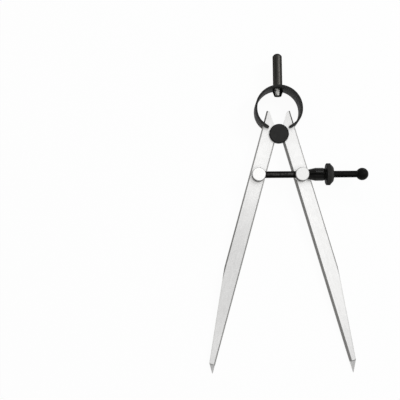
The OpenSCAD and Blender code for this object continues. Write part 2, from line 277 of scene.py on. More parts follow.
def feed(tree, socket, value):
    """Links a socket to another one, or sets its value. Colours are written without alpha."""
    if isinstance(value, bpy.types.NodeSocket):
        tree.links.new(value, socket)
    elif socket.type == "RGBA":
        socket.default_value = (*value, 1.0)
    else:
        socket.default_value = value


def wired(tree, kind, feeds=None, **settings):
    """Adds a node, sets its properties, then sets or links its inputs."""
    node = tree.nodes.new(kind)
    for key, value in settings.items():
        setattr(node, key, value)
    for key, value in (feeds or {}).items():
        feed(tree, node.inputs[key], value)
    return node


def sums(tree, operation, *values):
    """Any of the Math node's operations."""
    node = wired(tree, "ShaderNodeMath", dict(enumerate(values)), operation=operation)
    return node.outputs[0]


def times(tree, first, second):
    """One value times another."""
    return sums(tree, "MULTIPLY", first, second)


def scaled(tree, value, scale, base):
    """A value times a scale, on top of a base."""
    return sums(tree, "MULTIPLY_ADD", value, scale, base)


def weighed(tree, first, share, second):
    """The mean of two values, of which the first has the given share."""
    return scaled(tree, first, share, times(tree, second, 1 - share))


def ramped(tree, value, low, high, to_low=0.0, to_high=1.0):
    """A smooth step from one value to another."""
    feeds = {"Value": value, "From Min": low, "From Max": high, "To Min": to_low, "To Max": to_high}
    node = wired(tree, "ShaderNodeMapRange", feeds, interpolation_type="SMOOTHSTEP")
    return node.outputs["Result"]


def vector(tree, x=0.0, y=0.0, z=0.0):
    """A vector made of three values."""
    return wired(tree, "ShaderNodeCombineXYZ", {0: x, 1: y, 2: z}).outputs[0]


def blended(tree, share, first, second):
    """Mixes two colours."""
    node = wired(tree, "ShaderNodeMix", {0: share, 6: first, 7: second}, data_type="RGBA")
    return node.outputs[2]


def tinted(tone, tint):
    """A grey of the given tone, a little coloured."""
    return tuple(tone * share for share in tint)


def with_sockets(tree, inputs, outputs):
    """Gives a tree its sockets, as (label, kind) pairs, and returns their inner ends."""
    for label, kind in inputs:
        tree.interface.new_socket(label, in_out="INPUT", socket_type="NodeSocket" + kind)
    for label, kind in outputs:
        tree.interface.new_socket(label, in_out="OUTPUT", socket_type="NodeSocket" + kind)
    return tree.nodes.new("NodeGroupInput").outputs, tree.nodes.new("NodeGroupOutput").inputs


# Geometry trees: the thread of the screw and the knurls

def solid_tree(name, *inputs):
    """A geometry tree that works on a blank, with its further inputs."""
    tree = bpy.data.node_groups.new(name, "GeometryNodeTree")
    given, made = with_sockets(tree, [("Blank", "Geometry"), *inputs], [("Worked", "Geometry")])
    return tree, given, made


def ending(tree, given, made, teeth):
    """Joins the teeth to the blank, and ends the tree in realised geometry with its material."""
    joined = wired(tree, "GeometryNodeJoinGeometry")
    tree.links.new(teeth, joined.inputs[0])
    tree.links.new(given["Blank"], joined.inputs[0])
    real = wired(tree, "GeometryNodeRealizeInstances", {"Geometry": joined.outputs[0]})
    painted = wired(tree, "GeometryNodeSetMaterial", {
        "Geometry": real.outputs[0], "Material": given["Material"]})
    tree.links.new(painted.outputs[0], made["Worked"])
    return tree


def thread_tree():
    """A ridge swept along a helix. Its root is nearly as wide as the pitch, its crest narrow."""
    root_share, crest_share, steps_per_turn = 0.9, 0.16, 28
    tree, given, made = solid_tree(
        "screw_thread", ("Length", "Float"), ("Radius", "Float"), ("Pitch", "Float"),
        ("Depth", "Float"), ("Material", "Material"))
    turns = sums(tree, "DIVIDE", given["Length"], given["Pitch"])
    flank_r = sums(tree, "SUBTRACT", given["Radius"], times(tree, given["Depth"], 0.5))
    helix = wired(tree, "GeometryNodeCurveSpiral", {
        "Resolution": steps_per_turn, "Rotations": turns, "Start Radius": flank_r,
        "End Radius": flank_r, "Height": given["Length"]})
    upright = wired(tree, "GeometryNodeSetCurveNormal", {"Curve": helix.outputs[0]}, mode="Z_UP")
    ridge = wired(tree, "GeometryNodeCurvePrimitiveQuadrilateral", {
        "Height": given["Depth"],
        "Bottom Width": times(tree, given["Pitch"], root_share),
        "Top Width": times(tree, given["Pitch"], crest_share),
        "Offset": 0.0}, mode="TRAPEZOID")
    outwards = wired(tree, "GeometryNodeTransform", {
        "Geometry": ridge.outputs[0], "Rotation": (0, 0, -math.pi / 2)})
    swept = wired(tree, "GeometryNodeCurveToMesh", {
        "Curve": upright.outputs[0], "Profile Curve": outwards.outputs[0], "Fill Caps": True})
    along_x = wired(tree, "GeometryNodeTransform", {
        "Geometry": swept.outputs[0], "Rotation": (0, math.pi / 2, 0)})
    return ending(tree, given, made, along_x.outputs[0])


def diamond_knurl_tree(name, on_ball):
    """Four-sided teeth in staggered rows, on a straight band or over a ball."""
    tree, given, made = solid_tree(
        name, ("Radius", "Float"), ("Start", "Float"), ("Around", "Int"), ("Rows", "Int"),
        ("Step", "Float"), ("Height", "Float"), ("Material", "Material"))
    index = tree.nodes.new("GeometryNodeInputIndex").outputs[0]
    row = sums(tree, "FLOOR", sums(tree, "DIVIDE", index, given["Around"]))
    column = sums(tree, "MODULO", index, given["Around"])
    stagger = times(tree, sums(tree, "MODULO", row, 2.0), 0.5)
    share = sums(tree, "DIVIDE", sums(tree, "ADD", column, stagger), given["Around"])
    angle = times(tree, share, 2 * math.pi)
    along = sums(tree, "ADD", given["Start"], times(tree, row, given["Step"]))
    if on_ball:
        latitude = sums(tree, "DIVIDE", along, given["Radius"])
        lean, shrink = sums(tree, "SINE", latitude), sums(tree, "COSINE", latitude)
        place_x = times(tree, lean, given["Radius"])
    else:
        lean, shrink, place_x = 0.0, 1.0, along
    side_y = times(tree, sums(tree, "COSINE", angle), shrink)
    side_z = times(tree, sums(tree, "SINE", angle), shrink)
    outward = vector(tree, lean, side_y, side_z)
    sideways = vector(
        tree, y=times(tree, sums(tree, "SINE", angle), -1.0), z=sums(tree, "COSINE", angle))
    place = vector(
        tree, place_x, times(tree, side_y, given["Radius"]), times(tree, side_z, given["Radius"]))
    count = times(tree, given["Around"], given["Rows"])
    spots = wired(tree, "GeometryNodePoints", {"Count": count, "Position": place})
    facing = wired(tree, "FunctionNodeAxesToRotation", {
        "Primary Axis": outward, "Secondary Axis": sideways}, primary_axis="Y", secondary_axis="Z")
    tooth = wired(tree, "GeometryNodeMeshCone", {
        "Vertices": 4, "Radius Top": 0.0, "Radius Bottom": 1.0, "Depth": 1.0}, fill_type="NONE")
    upright = wired(tree, "GeometryNodeTransform", {
        "Geometry": tooth.outputs[0], "Rotation": (-math.pi / 2, 0, 0)})
    girth = sums(tree, "DIVIDE", times(tree, given["Radius"], math.pi), given["Around"])
    size = vector(tree, given["Step"], given["Height"], times(tree, girth, shrink))
    teeth = wired(tree, "GeometryNodeInstanceOnPoints", {
        "Points": spots.outputs[0], "Instance": upright.outputs[0],
        "Rotation": facing.outputs[0], "Scale": size})
    return ending(tree, given, made, teeth.outputs[0])


def straight_knurl_tree():
    """Three-sided ridges along the axis, sunk into a rim so that only their crests stand out."""
    pitch_over_ridge_r = 1.75
    tree, given, made = solid_tree(
        "straight_knurl", ("Crest Radius", "Float"), ("Start", "Float"), ("Width", "Float"),
        ("Around", "Int"), ("Material", "Material"))
    index = tree.nodes.new("GeometryNodeInputIndex").outputs[0]
    turn = sums(tree, "DIVIDE", 2 * math.pi, given["Around"])
    angle = times(tree, index, turn)
    pitch = times(tree, given["Crest Radius"], turn)
    ridge_r = sums(tree, "DIVIDE", pitch, pitch_over_ridge_r)
    seat_r = sums(tree, "SUBTRACT", given["Crest Radius"], ridge_r)
    middle = sums(tree, "ADD", given["Start"], times(tree, given["Width"], 0.5))
    place = vector(
        tree, middle, times(tree, sums(tree, "COSINE", angle), seat_r),
        times(tree, sums(tree, "SINE", angle), seat_r))
    spots = wired(tree, "GeometryNodePoints", {"Count": given["Around"], "Position": place})
    ridge = wired(tree, "GeometryNodeMeshCylinder", {
        "Vertices": 3, "Radius": ridge_r, "Depth": given["Width"]}, fill_type="NGON")
    crest_up = wired(tree, "GeometryNodeTransform", {
        "Geometry": ridge.outputs[0], "Rotation": (math.pi / 2, 0, math.pi / 2)})
    facing = wired(tree, "FunctionNodeEulerToRotation", {"Euler": vector(tree, angle)})
    ridges = wired(tree, "GeometryNodeInstanceOnPoints", {
        "Points": spots.outputs[0], "Instance": crest_up.outputs[0],
        "Rotation": facing.outputs[0]})
    return ending(tree, given, made, ridges.outputs[0])


def worked(piece, tree, sizes):
    """Runs a tree on a blank. Each input is set by its identifier before the first evaluation."""
    step = piece.modifiers.new(tree.name, "NODES")
    step.node_group = tree
    for item in tree.interface.items_tree:
        if item.in_out == "INPUT" and item.name in sizes:
            step[item.identifier] = sizes[item.name]
    return settled(piece)


# Shader groups that several finishes share

def shade_group(name, inputs, outputs):
    """A shader group whose sockets are numbers, apart from an input called Vector."""
    tree = bpy.data.node_groups.new(name, "ShaderNodeTree")
    kinds = [(label, "Vector" if label == "Vector" else "Float") for label in inputs]
    given, made = with_sockets(tree, kinds, [(label, "Float") for label in outputs])
    return tree, given, made


def mottle_group():
    """Clouds and fine grain. The sizes are in millimetres."""
    contrast = (0.28, 0.72)
    tree, given, made = shade_group("mottle", ["Vector", "Cloud", "Grain"], ["Tone", "Fine"])
    for size, detail, output in (("Cloud", 3.0, "Tone"), ("Grain", 2.0, "Fine")):
        scale = sums(tree, "DIVIDE", 1.0, given[size])
        noise = wired(tree, "ShaderNodeTexNoise", {
            "Vector": given["Vector"], "Scale": scale, "Detail": detail, "Roughness": 0.6})
        tree.links.new(ramped(tree, noise.outputs[0], *contrast), made[output])
    return tree


def streaks_group():
    """Grinding lines along Y, given their width and length in millimetres."""
    contrast = (0.3, 0.7)
    tree, given, made = shade_group("grinding_lines", ["Vector", "Across", "Along"], ["Line"])
    across = sums(tree, "DIVIDE", 1.0, given["Across"])
    along = sums(tree, "DIVIDE", 1.0, given["Along"])
    drawn = wired(tree, "ShaderNodeVectorMath", {
        0: given["Vector"], 1: vector(tree, across, along, across)}, operation="MULTIPLY")
    noise = wired(tree, "ShaderNodeTexNoise", {
        "Vector": drawn.outputs[0], "Scale": 1.0, "Detail": 3.0, "Roughness": 0.55})
    tree.links.new(ramped(tree, noise.outputs[0], *contrast), made["Line"])
    return tree


def turning_group():
    """Lathe lines: waves in a distance, a little uneven."""
    unevenness = 3.0
    tree, given, made = shade_group("turning_lines", ["Vector", "Distance", "Pitch"], ["Line"])
    noise = wired(tree, "ShaderNodeTexNoise", {
        "Vector": given["Vector"], "Scale": 0.9, "Detail": 2.0})
    wander = times(tree, noise.outputs[0], unevenness)
    turns = sums(tree, "DIVIDE", given["Distance"], given["Pitch"])
    wave = sums(tree, "SINE", scaled(tree, turns, 2 * math.pi, wander))
    tree.links.new(ramped(tree, wave, -1.0, 1.0), made["Line"])
    return tree


def wear_group():
    """Where a crest is worn bare: high places, in patches."""
    contrast, least = (0.35, 0.65), 0.25
    tree, given, made = shade_group(
        "rubbed_crests", ["Vector", "Height", "Crest", "Depth"], ["Bare"])
    foot = sums(tree, "SUBTRACT", given["Crest"], given["Depth"])
    high = ramped(tree, given["Height"], foot, given["Crest"])
    noise = wired(tree, "ShaderNodeTexNoise", {
        "Vector": given["Vector"], "Scale": 0.7, "Detail": 4.0, "Roughness": 0.65})
    patches = ramped(tree, noise.outputs[0], *contrast, least, 1.0)
    tree.links.new(times(tree, high, patches), made["Bare"])
    return tree


def edge_group():
    """One outside a band about a middle value, zero inside it."""
    softness = 0.08
    tree, given, made = shade_group("outer_band", ["Value", "Middle", "Half Width"], ["Edge"])
    away = sums(tree, "ABSOLUTE", sums(tree, "SUBTRACT", given["Value"], given["Middle"]))
    past = sums(tree, "ADD", given["Half Width"], softness)
    tree.links.new(ramped(tree, away, given["Half Width"], past), made["Edge"])
    return tree


MOTTLE = mottle_group()
STREAKS = streaks_group()
TURNING = turning_group()
WEAR = wear_group()
EDGE = edge_group()


class Finish:
    """A material, its shader, and places in millimetres.

    They are measured from the origin that is given, or turned and mirrored about the fulcrum.
    """

    def __init__(self, name, origin=(0, 0, 0), turn=0.0, mirrored=False):
        self.material = bpy.data.materials.new(name)
        self.material.use_nodes = True
        self.tree = self.material.node_tree
        self.shader = self.tree.nodes["Principled BSDF"]
        side = -1 if mirrored else 1
        where = self.tree.nodes.new("ShaderNodeTexCoord").outputs["Object"]
        mapped = wired(self.tree, "ShaderNodeMapping", {
            "Vector": where, "Scale": (side / MM, 1 / MM, 1 / MM), "Rotation": (0, 0, turn),
            "Location": tuple(-v for v in origin)})
        self.place = mapped.outputs[0]
        self.x, self.y, self.z = wired(self.tree, "ShaderNodeSeparateXYZ", {0: self.place}).outputs

    def set(self, **values):
        """Sets or links inputs of the shader, and returns the material."""
        for key, value in values.items():
            feed(self.tree, self.shader.inputs[key.replace("_", " ")], value)
        return self.material

    def relief(self, height, strength, depth):
        """A bump of the given depth in millimetres."""
        bump = wired(self.tree, "ShaderNodeBump", {
            "Height": height, "Strength": strength, "Distance": depth * MM})
        self.set(Normal=bump.outputs[0])

    def radius(self, *axes):
        """Distance from an axis or a point, over the given directions."""
        total, *others = [times(self.tree, axis, axis) for axis in axes]
        for square in others:
            total = sums(self.tree, "ADD", total, square)
        return sums(self.tree, "SQRT", total)

    def grouped(self, group, **feeds):
        """Places a shared group at this finish's place, and returns its outputs."""
        node = wired(self.tree, "ShaderNodeGroup", feeds, node_tree=group)
        feed(self.tree, node.inputs["Vector"], self.place)
        return node.outputs

    def mottle(self, cloud, grain):
        """The clouds and the fine grain."""
        return self.grouped(MOTTLE, Cloud=cloud, Grain=grain)

    def streaks(self, across, along):
        return self.grouped(STREAKS, Across=across, Along=along)[0]

    def lathe_lines(self, distance, pitch):
        return self.grouped(TURNING, Distance=distance, Pitch=pitch)[0]

    def wear(self, height, crest, depth):
        return self.grouped(WEAR, Height=height, Crest=crest, Depth=depth)[0]

    def outside(self, value, middle, half_width):
        """One where a value lies outside a band."""
        feeds = {"Value": value, "Middle": middle, "Half Width": half_width}
        return wired(self.tree, "ShaderNodeGroup", feeds, node_tree=EDGE).outputs[0]


# Finishes of the legs and the posts

def leg_face(f, down, look, grain, tone):
    """The broad face: clouded, with painted shade near the bow, down its length and along its outer
    rim.
    """
    tree = f.tree
    inside_bow, by_rim = (2.0, 8.0), (0.2, 0.65)
    down_leg, near_point = (5.0, 75.0), (105.0, 130.0)
    cloud_share, streak_share, bow_share, rim_share = 0.16, 0.25, 0.07, 0.55
    broad = f.streaks(across=1.3, along=40.0)
    face = blended(tree, grain, FACE_DARK, FACE_LIGHT)
    face = blended(tree, times(tree, tone, cloud_share), face, FACE_CLOUD)
    face = blended(tree, times(tree, broad, streak_share), face, FACE_STREAK)
    # Painted shade: darker inside the bow, down the leg, and again near the point.
    upper = ramped(tree, f.y, *inside_bow, 0.0, bow_share)
    lower = ramped(tree, down, *down_leg, 0.0, look.dulled)
    tip = ramped(tree, down, *near_point, 0.0, look.tip_dulled - look.dulled)
    dulled = sums(tree, "ADD", upper, sums(tree, "ADD", lower, tip))
    face = blended(tree, dulled, face, BLACK)
    # Painted shade along the outer rim, which follows the taper.
    tapered = times(tree, sums(tree, "SUBTRACT", down, TAPER_START), math.tan(TAPER_ANGLE))
    rim = sums(tree, "SUBTRACT", LEG_OUTER, sums(tree, "MAXIMUM", tapered, 0.0))
    rim_shade = ramped(tree, sums(tree, "SUBTRACT", rim, f.x), *by_rim, rim_share, 0.0)
    return blended(tree, rim_shade, face, FACE_RIM_SHADE)


def leg_painted_edges(f, down, look, grain, middle):
    """The long edges: painted grey as shade, with painted light inside the bow and some way below
    the fulcrum.
    """
    tree = f.tree
    across = (middle - 0.5, middle + 0.5)
    below_fulcrum, above_fulcrum = (14.0, 60.0), (-2.0, 8.0)
    grain_share = 0.35
    # Painted shade: edges that face left are painted darker than edges that face right.
    inner, outer = (tinted(edge.tone, EDGE_SHADE_TINT) for edge in (look.inner, look.outer))
    painted_edges = blended(tree, ramped(tree, f.x, *across), inner, outer)
    painted_edges = blended(tree, times(tree, grain, grain_share), painted_edges, EDGE_GRAIN)
    # Painted light inside the bow, and below the fulcrum mostly on the edges that face right.
    rubbed = ramped(tree, f.x, *across, look.inner.rubbed, look.outer.rubbed)
    rubbed = times(tree, rubbed, ramped(tree, down, *below_fulcrum, 1.0, 0.0))
    rubbed = sums(tree, "MAXIMUM", rubbed, ramped(tree, f.y, *above_fulcrum))
    return blended(tree, rubbed, painted_edges, EDGE_PAINTED_LIGHT)


def leg_with_point(f, down, start, colour, fine):
    """Adds the ground point, with a dark burr just past where the grinding starts."""
    tree = f.tree
    burr_share = 0.6
    point = ramped(tree, down, start - 0.1, start + 0.05)
    colour = blended(tree, point, colour, blended(tree, fine, POINT_DARK, POINT_LIGHT))
    burr = times(tree, point, ramped(tree, down, start + 0.2, start + 0.8, burr_share, 0.0))
    return blended(tree, burr, colour, POINT_BURR)


def leg_finish(name, look):
    """Satin steel ground along the leg, with a ground point, and painted shade and light on its
    face and edges.
    """
    f = Finish(name, turn=-HALF_OPENING, mirrored=look.mirrored)
    tree = f.tree
    low_rough, grain_rough, edge_rough = 0.42, 0.1, 0.2
    down = times(tree, f.y, -1.0)
    tone, fine = f.mottle(cloud=4.5, grain=0.6)
    grain = weighed(tree, f.streaks(across=0.16, along=5.0), 0.45, fine)
    inner_line, outer_line = LEG_INNER + look.inner.width, LEG_OUTER - look.outer.width
    middle = (inner_line + outer_line) / 2
    edge = f.outside(f.x, middle, middle - inner_line)
    face = leg_face(f, down, look, grain, tone)
    painted_edges = leg_painted_edges(f, down, look, grain, middle)
    colour = leg_with_point(f, down, look.point_start, blended(tree, edge, face, painted_edges), fine)
    rough = scaled(tree, edge, edge_rough, scaled(tree, grain, grain_rough, low_rough))
    f.relief(grain, strength=0.25, depth=0.02)
    return f.set(Base_Color=colour, Metallic=1.0, Roughness=rough)


def post_finish(name, side, low, high):
    """Bright turned head, a chamfer in grey painted shade, a neck painted black as the shade on the
    post's side, and a bright foot.
    """
    f = Finish(name, origin=(side * POST_X, POST_Y, 0))
    tree = f.tree
    head_blur, foot_blur = 0.1, 0.4
    fine = f.mottle(cloud=3.0, grain=0.4)["Fine"]
    grain = weighed(tree, f.lathe_lines(f.radius(f.x, f.y), pitch=0.32), 0.4, fine)
    bright = blended(tree, grain, tinted(low, POST_TINT), tinted(high, POST_TINT))
    # Painted shade on the chamfer.
    chamfer = ramped(tree, f.z, POST_TOP_Z - POST_CHAMFER / 2, POST_TOP_Z - 0.02, 1.0, 0.0)
    bright = blended(tree, chamfer, bright, POST_CHAMFER_SHADE)
    # The neck is painted black, as the shade on the post's side.
    head = ramped(tree, f.z, POST_NECK_TOP - head_blur, POST_NECK_TOP + head_blur)
    foot = ramped(tree, f.z, POST_NECK_FOOT - foot_blur, POST_NECK_FOOT + foot_blur, 1.0, 0.0)
    clear = sums(tree, "MAXIMUM", head, foot)
    colour = blended(tree, clear, blended(tree, fine, NECK_DARK, NECK_LIGHT), bright)
    f.relief(grain, strength=0.2, depth=0.02)
    return f.set(
        Base_Color=colour, Metallic=clear, Specular_IOR_Level=0.1,
        Roughness=scaled(tree, grain, 0.12, 0.46))


# Finishes of the black pieces. Dark and light are the ends of the grain's tones.

def oxide(f, dark, light, low_rough=0.42, gloss=0.06, darker=None, dulled=None, bare=None,
          metal=0.0, warm=0.98):
    """Black oxide with clouds and fine grain; darker, duller or mixed towards worn steel where
    told. Some pieces pass painted shade as darker, and the screw a painted highlight as bare.
    """
    tree = f.tree
    deepest, grain_rough, dulled_rough = dark * 0.35, 0.16, 0.6
    tone, fine = f.mottle(cloud=2.6, grain=0.3)
    grain = weighed(tree, tone, 0.45, fine)
    tint = (1.0, (2.0 + warm) / 3, warm)
    colour = blended(tree, grain, tinted(dark, tint), tinted(light, tint))
    if darker is not None:
        colour = blended(tree, darker, colour, (deepest, deepest, deepest))
    if bare is not None:
        colour = blended(tree, bare, colour, WORN_STEEL)
        metal = sums(tree, "MAXIMUM", bare, metal)
    rough = scaled(tree, grain, grain_rough, low_rough)
    if dulled is not None:
        rough = scaled(tree, dulled, dulled_rough, rough)
    f.relief(fine, strength=0.3, depth=0.03)
    return f.set(Base_Color=colour, Metallic=metal, Specular_IOR_Level=gloss, Roughness=rough)


def bow_finish():
    f = Finish("bow_oxide")
    # Painted shade: the rounded rims of the strip are darker than its walls.
    rim = f.outside(f.z, LEG_MID_Z, STRIP_WIDTH / 2 - STRIP_RIM_R)
    return oxide(f, 0.037, 0.054, gloss=0.02, darker=times(f.tree, rim, 0.5))


def fulcrum_finish():
    f = Finish("fulcrum_oxide")
    # Painted shade: the head is darker towards its edge.
    rim = ramped(f.tree, f.radius(f.x, f.y), FULCRUM_R - 0.75, FULCRUM_R - 0.05)
    return oxide(f, 0.02, 0.034, darker=times(f.tree, rim, 0.8))


def stud_finish():
    f = Finish("stud_oxide", origin=(0, 0, LEG_MID_Z))
    f.set(Specular_Tint=STUD_GLINT)
    bare = f.wear(f.radius(f.x, f.z), crest=STUD_R, depth=0.07)
    return oxide(
        f, 0.038, 0.062, low_rough=0.32, bare=times(f.tree, bare, 0.05), metal=0.9, warm=0.88)


def collar_finish(front_x):
    """With painted shadow on its front, which faces the jaws and lies in their shade."""
    f = Finish("collar_oxide", origin=(front_x, POST_Y, SCREW_Z))
    bare = f.wear(f.radius(f.y, f.z), crest=COLLAR_R, depth=0.12)
    # Painted shadow of the jaws on the collar's front.
    front = ramped(f.tree, f.x, 0.05, COLLAR_BEVEL, 1.0, 0.0)
    return oxide(
        f, 0.024, 0.046, gloss=0.03, darker=front, bare=times(f.tree, bare, 0.04), warm=0.94)


def screw_finish():
    """Nearly black, with a painted highlight on the crests along its front, most of all between the
    posts.
    """
    f = Finish("screw_black", origin=(0, POST_Y, SCREW_Z))
    tree = f.tree
    crests = f.wear(f.radius(f.y, f.z), crest=SCREW_R, depth=0.2)
    # Painted highlight: crests along the front are lighter, most of all between the posts.
    front = ramped(tree, f.z, SCREW_R * 0.86, SCREW_R * 0.98, 0.0, 0.2)
    away = sums(tree, "ABSOLUTE", f.x)
    between = ramped(tree, away, POST_X - 6.0, POST_X - 4.0, 1.0, 0.15)
    rubbed = times(tree, crests, times(tree, front, between))
    return oxide(f, 0.002, 0.005, low_rough=0.3, gloss=0.03, bare=rubbed, warm=0.88)


def ball_finish(centre_x):
    f = Finish("ball_black", origin=(centre_x, POST_Y, SCREW_Z))
    bare = f.wear(f.radius(f.x, f.y, f.z), crest=BALL_R, depth=0.1)
    return oxide(f, 0.003, 0.008, gloss=0.05, bare=times(f.tree, bare, 0.01), warm=0.9)


def jaw_finish():
    """Blackened, with lathe lines round the barrel and a duller band of painted shade under the
    split.
    """
    f = Finish("jaw_black", origin=(0, POST_Y, SCREW_Z))
    tree = f.tree
    rings = times(tree, f.lathe_lines(f.x, pitch=0.28), 0.35)
    # Painted shade of the split, on the edge of the lower jaw just under it.
    split_shade_foot = ramped(tree, f.y, -1.2, -0.9)
    split_shade_top = ramped(tree, f.y, -0.05, 0.15, 1.0, 0.0)
    band = times(tree, split_shade_foot, split_shade_top)
    darker = sums(tree, "MAXIMUM", rings, band)
    return oxide(f, 0.004, 0.010, low_rough=0.22, gloss=0.16, darker=darker, dulled=band, warm=0.88)


def washer_finish():
    f = Finish("washer_black", origin=(0, POST_Y, 0))
    from_post = sums(f.tree, "SUBTRACT", sums(f.tree, "ABSOLUTE", f.x), POST_X)
    rings = f.lathe_lines(f.radius(from_post, f.y), pitch=0.35)
    return oxide(f, 0.005, 0.016, darker=times(f.tree, rings, 0.4))


# Finishes of the small steel pieces

def nut_finish():
    """Black hexagon nut of the stud, its front flat worn to bare scratched metal."""
    f = Finish("stud_nut_steel", origin=(0, 0, LEG_MID_Z))
    tree = f.tree
    patch, least = (0.3, 0.45), 0.12
    sine, cosine = math.sin(NUT_TURN), math.cos(NUT_TURN)
    out = scaled(tree, f.z, cosine, times(tree, f.x, -sine))
    across = scaled(tree, f.z, sine, times(tree, f.x, cosine))
    # The front flat reaches 30 degrees to either side, so its corners lie where this is zero
    from_corner = scaled(tree, sums(tree, "ABSOLUTE", across), -math.sqrt(3), out)
    flat = ramped(tree, from_corner, 0.0, 0.2)
    flat = times(tree, flat, ramped(tree, f.y, NUT_END_Y + 0.1, NUT_END_Y + 0.35))
    line = f.streaks(across=0.5, along=0.9)
    tone, fine = f.mottle(cloud=1.1, grain=0.3)
    bare = times(tree, flat, ramped(tree, tone, *patch, least, 1.0))
    black = blended(tree, fine, NUT_DARK, NUT_LIGHT)
    metal = blended(tree, line, NUT_FLAT_DARK, NUT_FLAT_LIGHT)
    f.relief(line, strength=0.3, depth=0.03)
    return f.set(
        Base_Color=blended(tree, bare, black, metal), Metallic=times(tree, bare, 0.45),
        Specular_IOR_Level=0.0, Roughness=scaled(tree, fine, 0.2, 0.3))


def wire_finish(name, low, high):
    """Drawn steel of the lock pin, and of the jaw spring, painted dark as the shade of the groove
    it lies in.
    """
    f = Finish(name, origin=(0, POST_Y, SCREW_Z))
    line = f.streaks(across=0.12, along=1.5)
    colour = blended(f.tree, line, tinted(low, WIRE_TINT), tinted(high, WIRE_TINT))
    f.relief(line, strength=0.2, depth=0.02)
    return f.set(Base_Color=colour, Metallic=1.0, Roughness=scaled(f.tree, line, 0.15, 0.3))


def finish_solids():
    """Gives the solids whose shape is already right their finishes."""
    washers, jaws, fulcrum = washer_finish(), jaw_finish(), fulcrum_finish()
    finishes = {
        "left_leg": leg_finish("left_leg_satin", LEFT_LOOK),
        "right_leg": leg_finish("right_leg_satin", RIGHT_LOOK),
        "fulcrum_pin": fulcrum, "fulcrum_rear_cap": fulcrum,
        "stud_nut": nut_finish(),
        # The guide post is painted darker than the anchor post, as painted shade.
        "anchor_post": post_finish("anchor_post_steel", side=-1, low=0.84, high=0.90),
        "guide_post": post_finish("guide_post_steel", side=1, low=0.70, high=0.77),
        "anchor_front_washer": washers, "anchor_rear_washer": washers,
        "guide_front_washer": washers, "guide_rear_washer": washers,
        "screw_lock_pin": wire_finish("pin_steel", low=0.2, high=0.36),
        # The jaw spring's dark colour is painted shade.
        "jaw_spring": wire_finish("shaded_wire", low=0.02, high=0.045),
        "upper_jaw": jaws, "lower_jaw": jaws,
    }
    for node, finish in finishes.items():
        nodes[node].data.materials.clear()
        nodes[node].data.materials.append(finish)


# The bow spring, as two halves

def corner(centre, radius, start, stop, steps=6):
    """Points of an arc, angles in degrees."""
    angles = [math.radians(start + (stop - start) * k / steps) for k in range(steps + 1)]
    return [(centre[0] + radius * math.cos(a), centre[1] + radius * math.sin(a)) for a in angles]


def strip_length(angle):
    """Length along the middle of the strip, from the crown to an angle on its curled end."""
    crown = CURL_START * (BOW_OUTER_R - STRIP_THICKNESS / 2)
    return crown + (angle - CURL_START) * (CURL_OUTER_R - STRIP_THICKNESS / 2)


def rolled(length, out):
    """Where a point of the flat strip lies once rolled: a wide crown, then a tighter end."""
    shift = BOW_OUTER_R - CURL_OUTER_R
    crown = strip_length(CURL_START)
    if length <= crown:
        r = BOW_OUTER_R - STRIP_THICKNESS / 2
        angle, x, y = length / r, 0.0, BOW_CENTRE_Y
    else:
        r = CURL_OUTER_R - STRIP_THICKNESS / 2
        angle = CURL_START + (length - crown) / r
        x, y = shift * math.sin(CURL_START), BOW_CENTRE_Y + shift * math.cos(CURL_START)
    return x + (r + out) * math.sin(angle), y + (r + out) * math.cos(angle)


def strip_outline():
    """The flat half strip: length from the crown, then width, forked at its end."""
    end, fork = strip_length(FORK_END), strip_length(FORK_START)
    rear, front = LEG_MID_Z - STRIP_WIDTH / 2, LEG_MID_Z + STRIP_WIDTH / 2
    slot_rear, slot_front = LEG_MID_Z - FORK_SLOT / 2, LEG_MID_Z + FORK_SLOT / 2
    tip, root = FORK_TIP_R, FORK_ROOT_R
    return (
        [(0.0, rear)]
        + corner((end - tip, rear + tip), tip, -90, 0)
        + corner((end - tip, slot_rear - tip), tip, 0, 90)
        + corner((fork + root, slot_rear + root), root, 270, 180)
        + corner((fork + root, slot_front - root), root, 180, 90)
        + corner((end - tip, slot_front + tip), tip, -90, 0)
        + corner((end - tip, front - tip), tip, 0, 90)
        + [(0.0, front)]
        + corner((0.0, LEG_MID_Z), TENON_HOLE_R, 90, -90, 12)
    )


def flat_strip():
    """Half of the bow laid flat: X along the strip, Y across it and Z through it."""
    cuts = 62
    work = bmesh.new()
    work.faces.new([work.verts.new((length, width, 0)) for length, width in strip_outline()])
    end = strip_length(FORK_END)
    for k in range(1, cuts):
        bmesh.ops.bisect_plane(
            work, geom=work.verts[:] + work.edges[:] + work.faces[:],
            plane_co=(end * k / cuts, 0, 0), plane_no=(1, 0, 0), dist=1e-5)
    bmesh.ops.remove_doubles(work, verts=work.verts[:], dist=MERGE)
    bmesh.ops.solidify(work, geom=work.faces[:], thickness=STRIP_THICKNESS)
    bmesh.ops.recalc_face_normals(work, faces=work.faces[:])
    return work


def at_crown(edge):
    """Tells whether an edge lies where the halves meet, or round the hole of the tenon."""
    hole, reach = Vector((0, LEG_MID_Z)), TENON_HOLE_R + 0.05
    return all(v.co.x < 1e-3 or (v.co.xy - hole).length < reach for v in edge.verts)


def is_rim(edge):
    """Tells whether an edge is a sharp one that runs round the strip, and not at the crown."""
    sharp_angle = 1.0
    if len(edge.link_faces) != 2 or edge.calc_face_angle() <= sharp_angle or at_crown(edge):
        return False
    first, second = edge.verts
    return abs(first.co.z - second.co.z) < 1e-6


def bow_half(name, side):
    """Rounds the rims of a flat strip and rolls it into half of the bow."""
    work = flat_strip()
    bmesh.ops.bevel(
        work, geom=[e for e in work.edges if is_rim(e)], offset=STRIP_RIM_R, offset_type="OFFSET",
        segments=3, profile=0.5, affect="EDGES", clamp_overlap=True)
    levels = [v.co.z for v in work.verts]
    middle = (min(levels) + max(levels)) / 2
    for v in work.verts:
        x, y = rolled(v.co.x, v.co.z - middle)
        v.co = (side * x, y, v.co.y)
    merge(work)
    return placed(smoothed(new_piece(name, work), angle=50), Matrix.Identity(4))


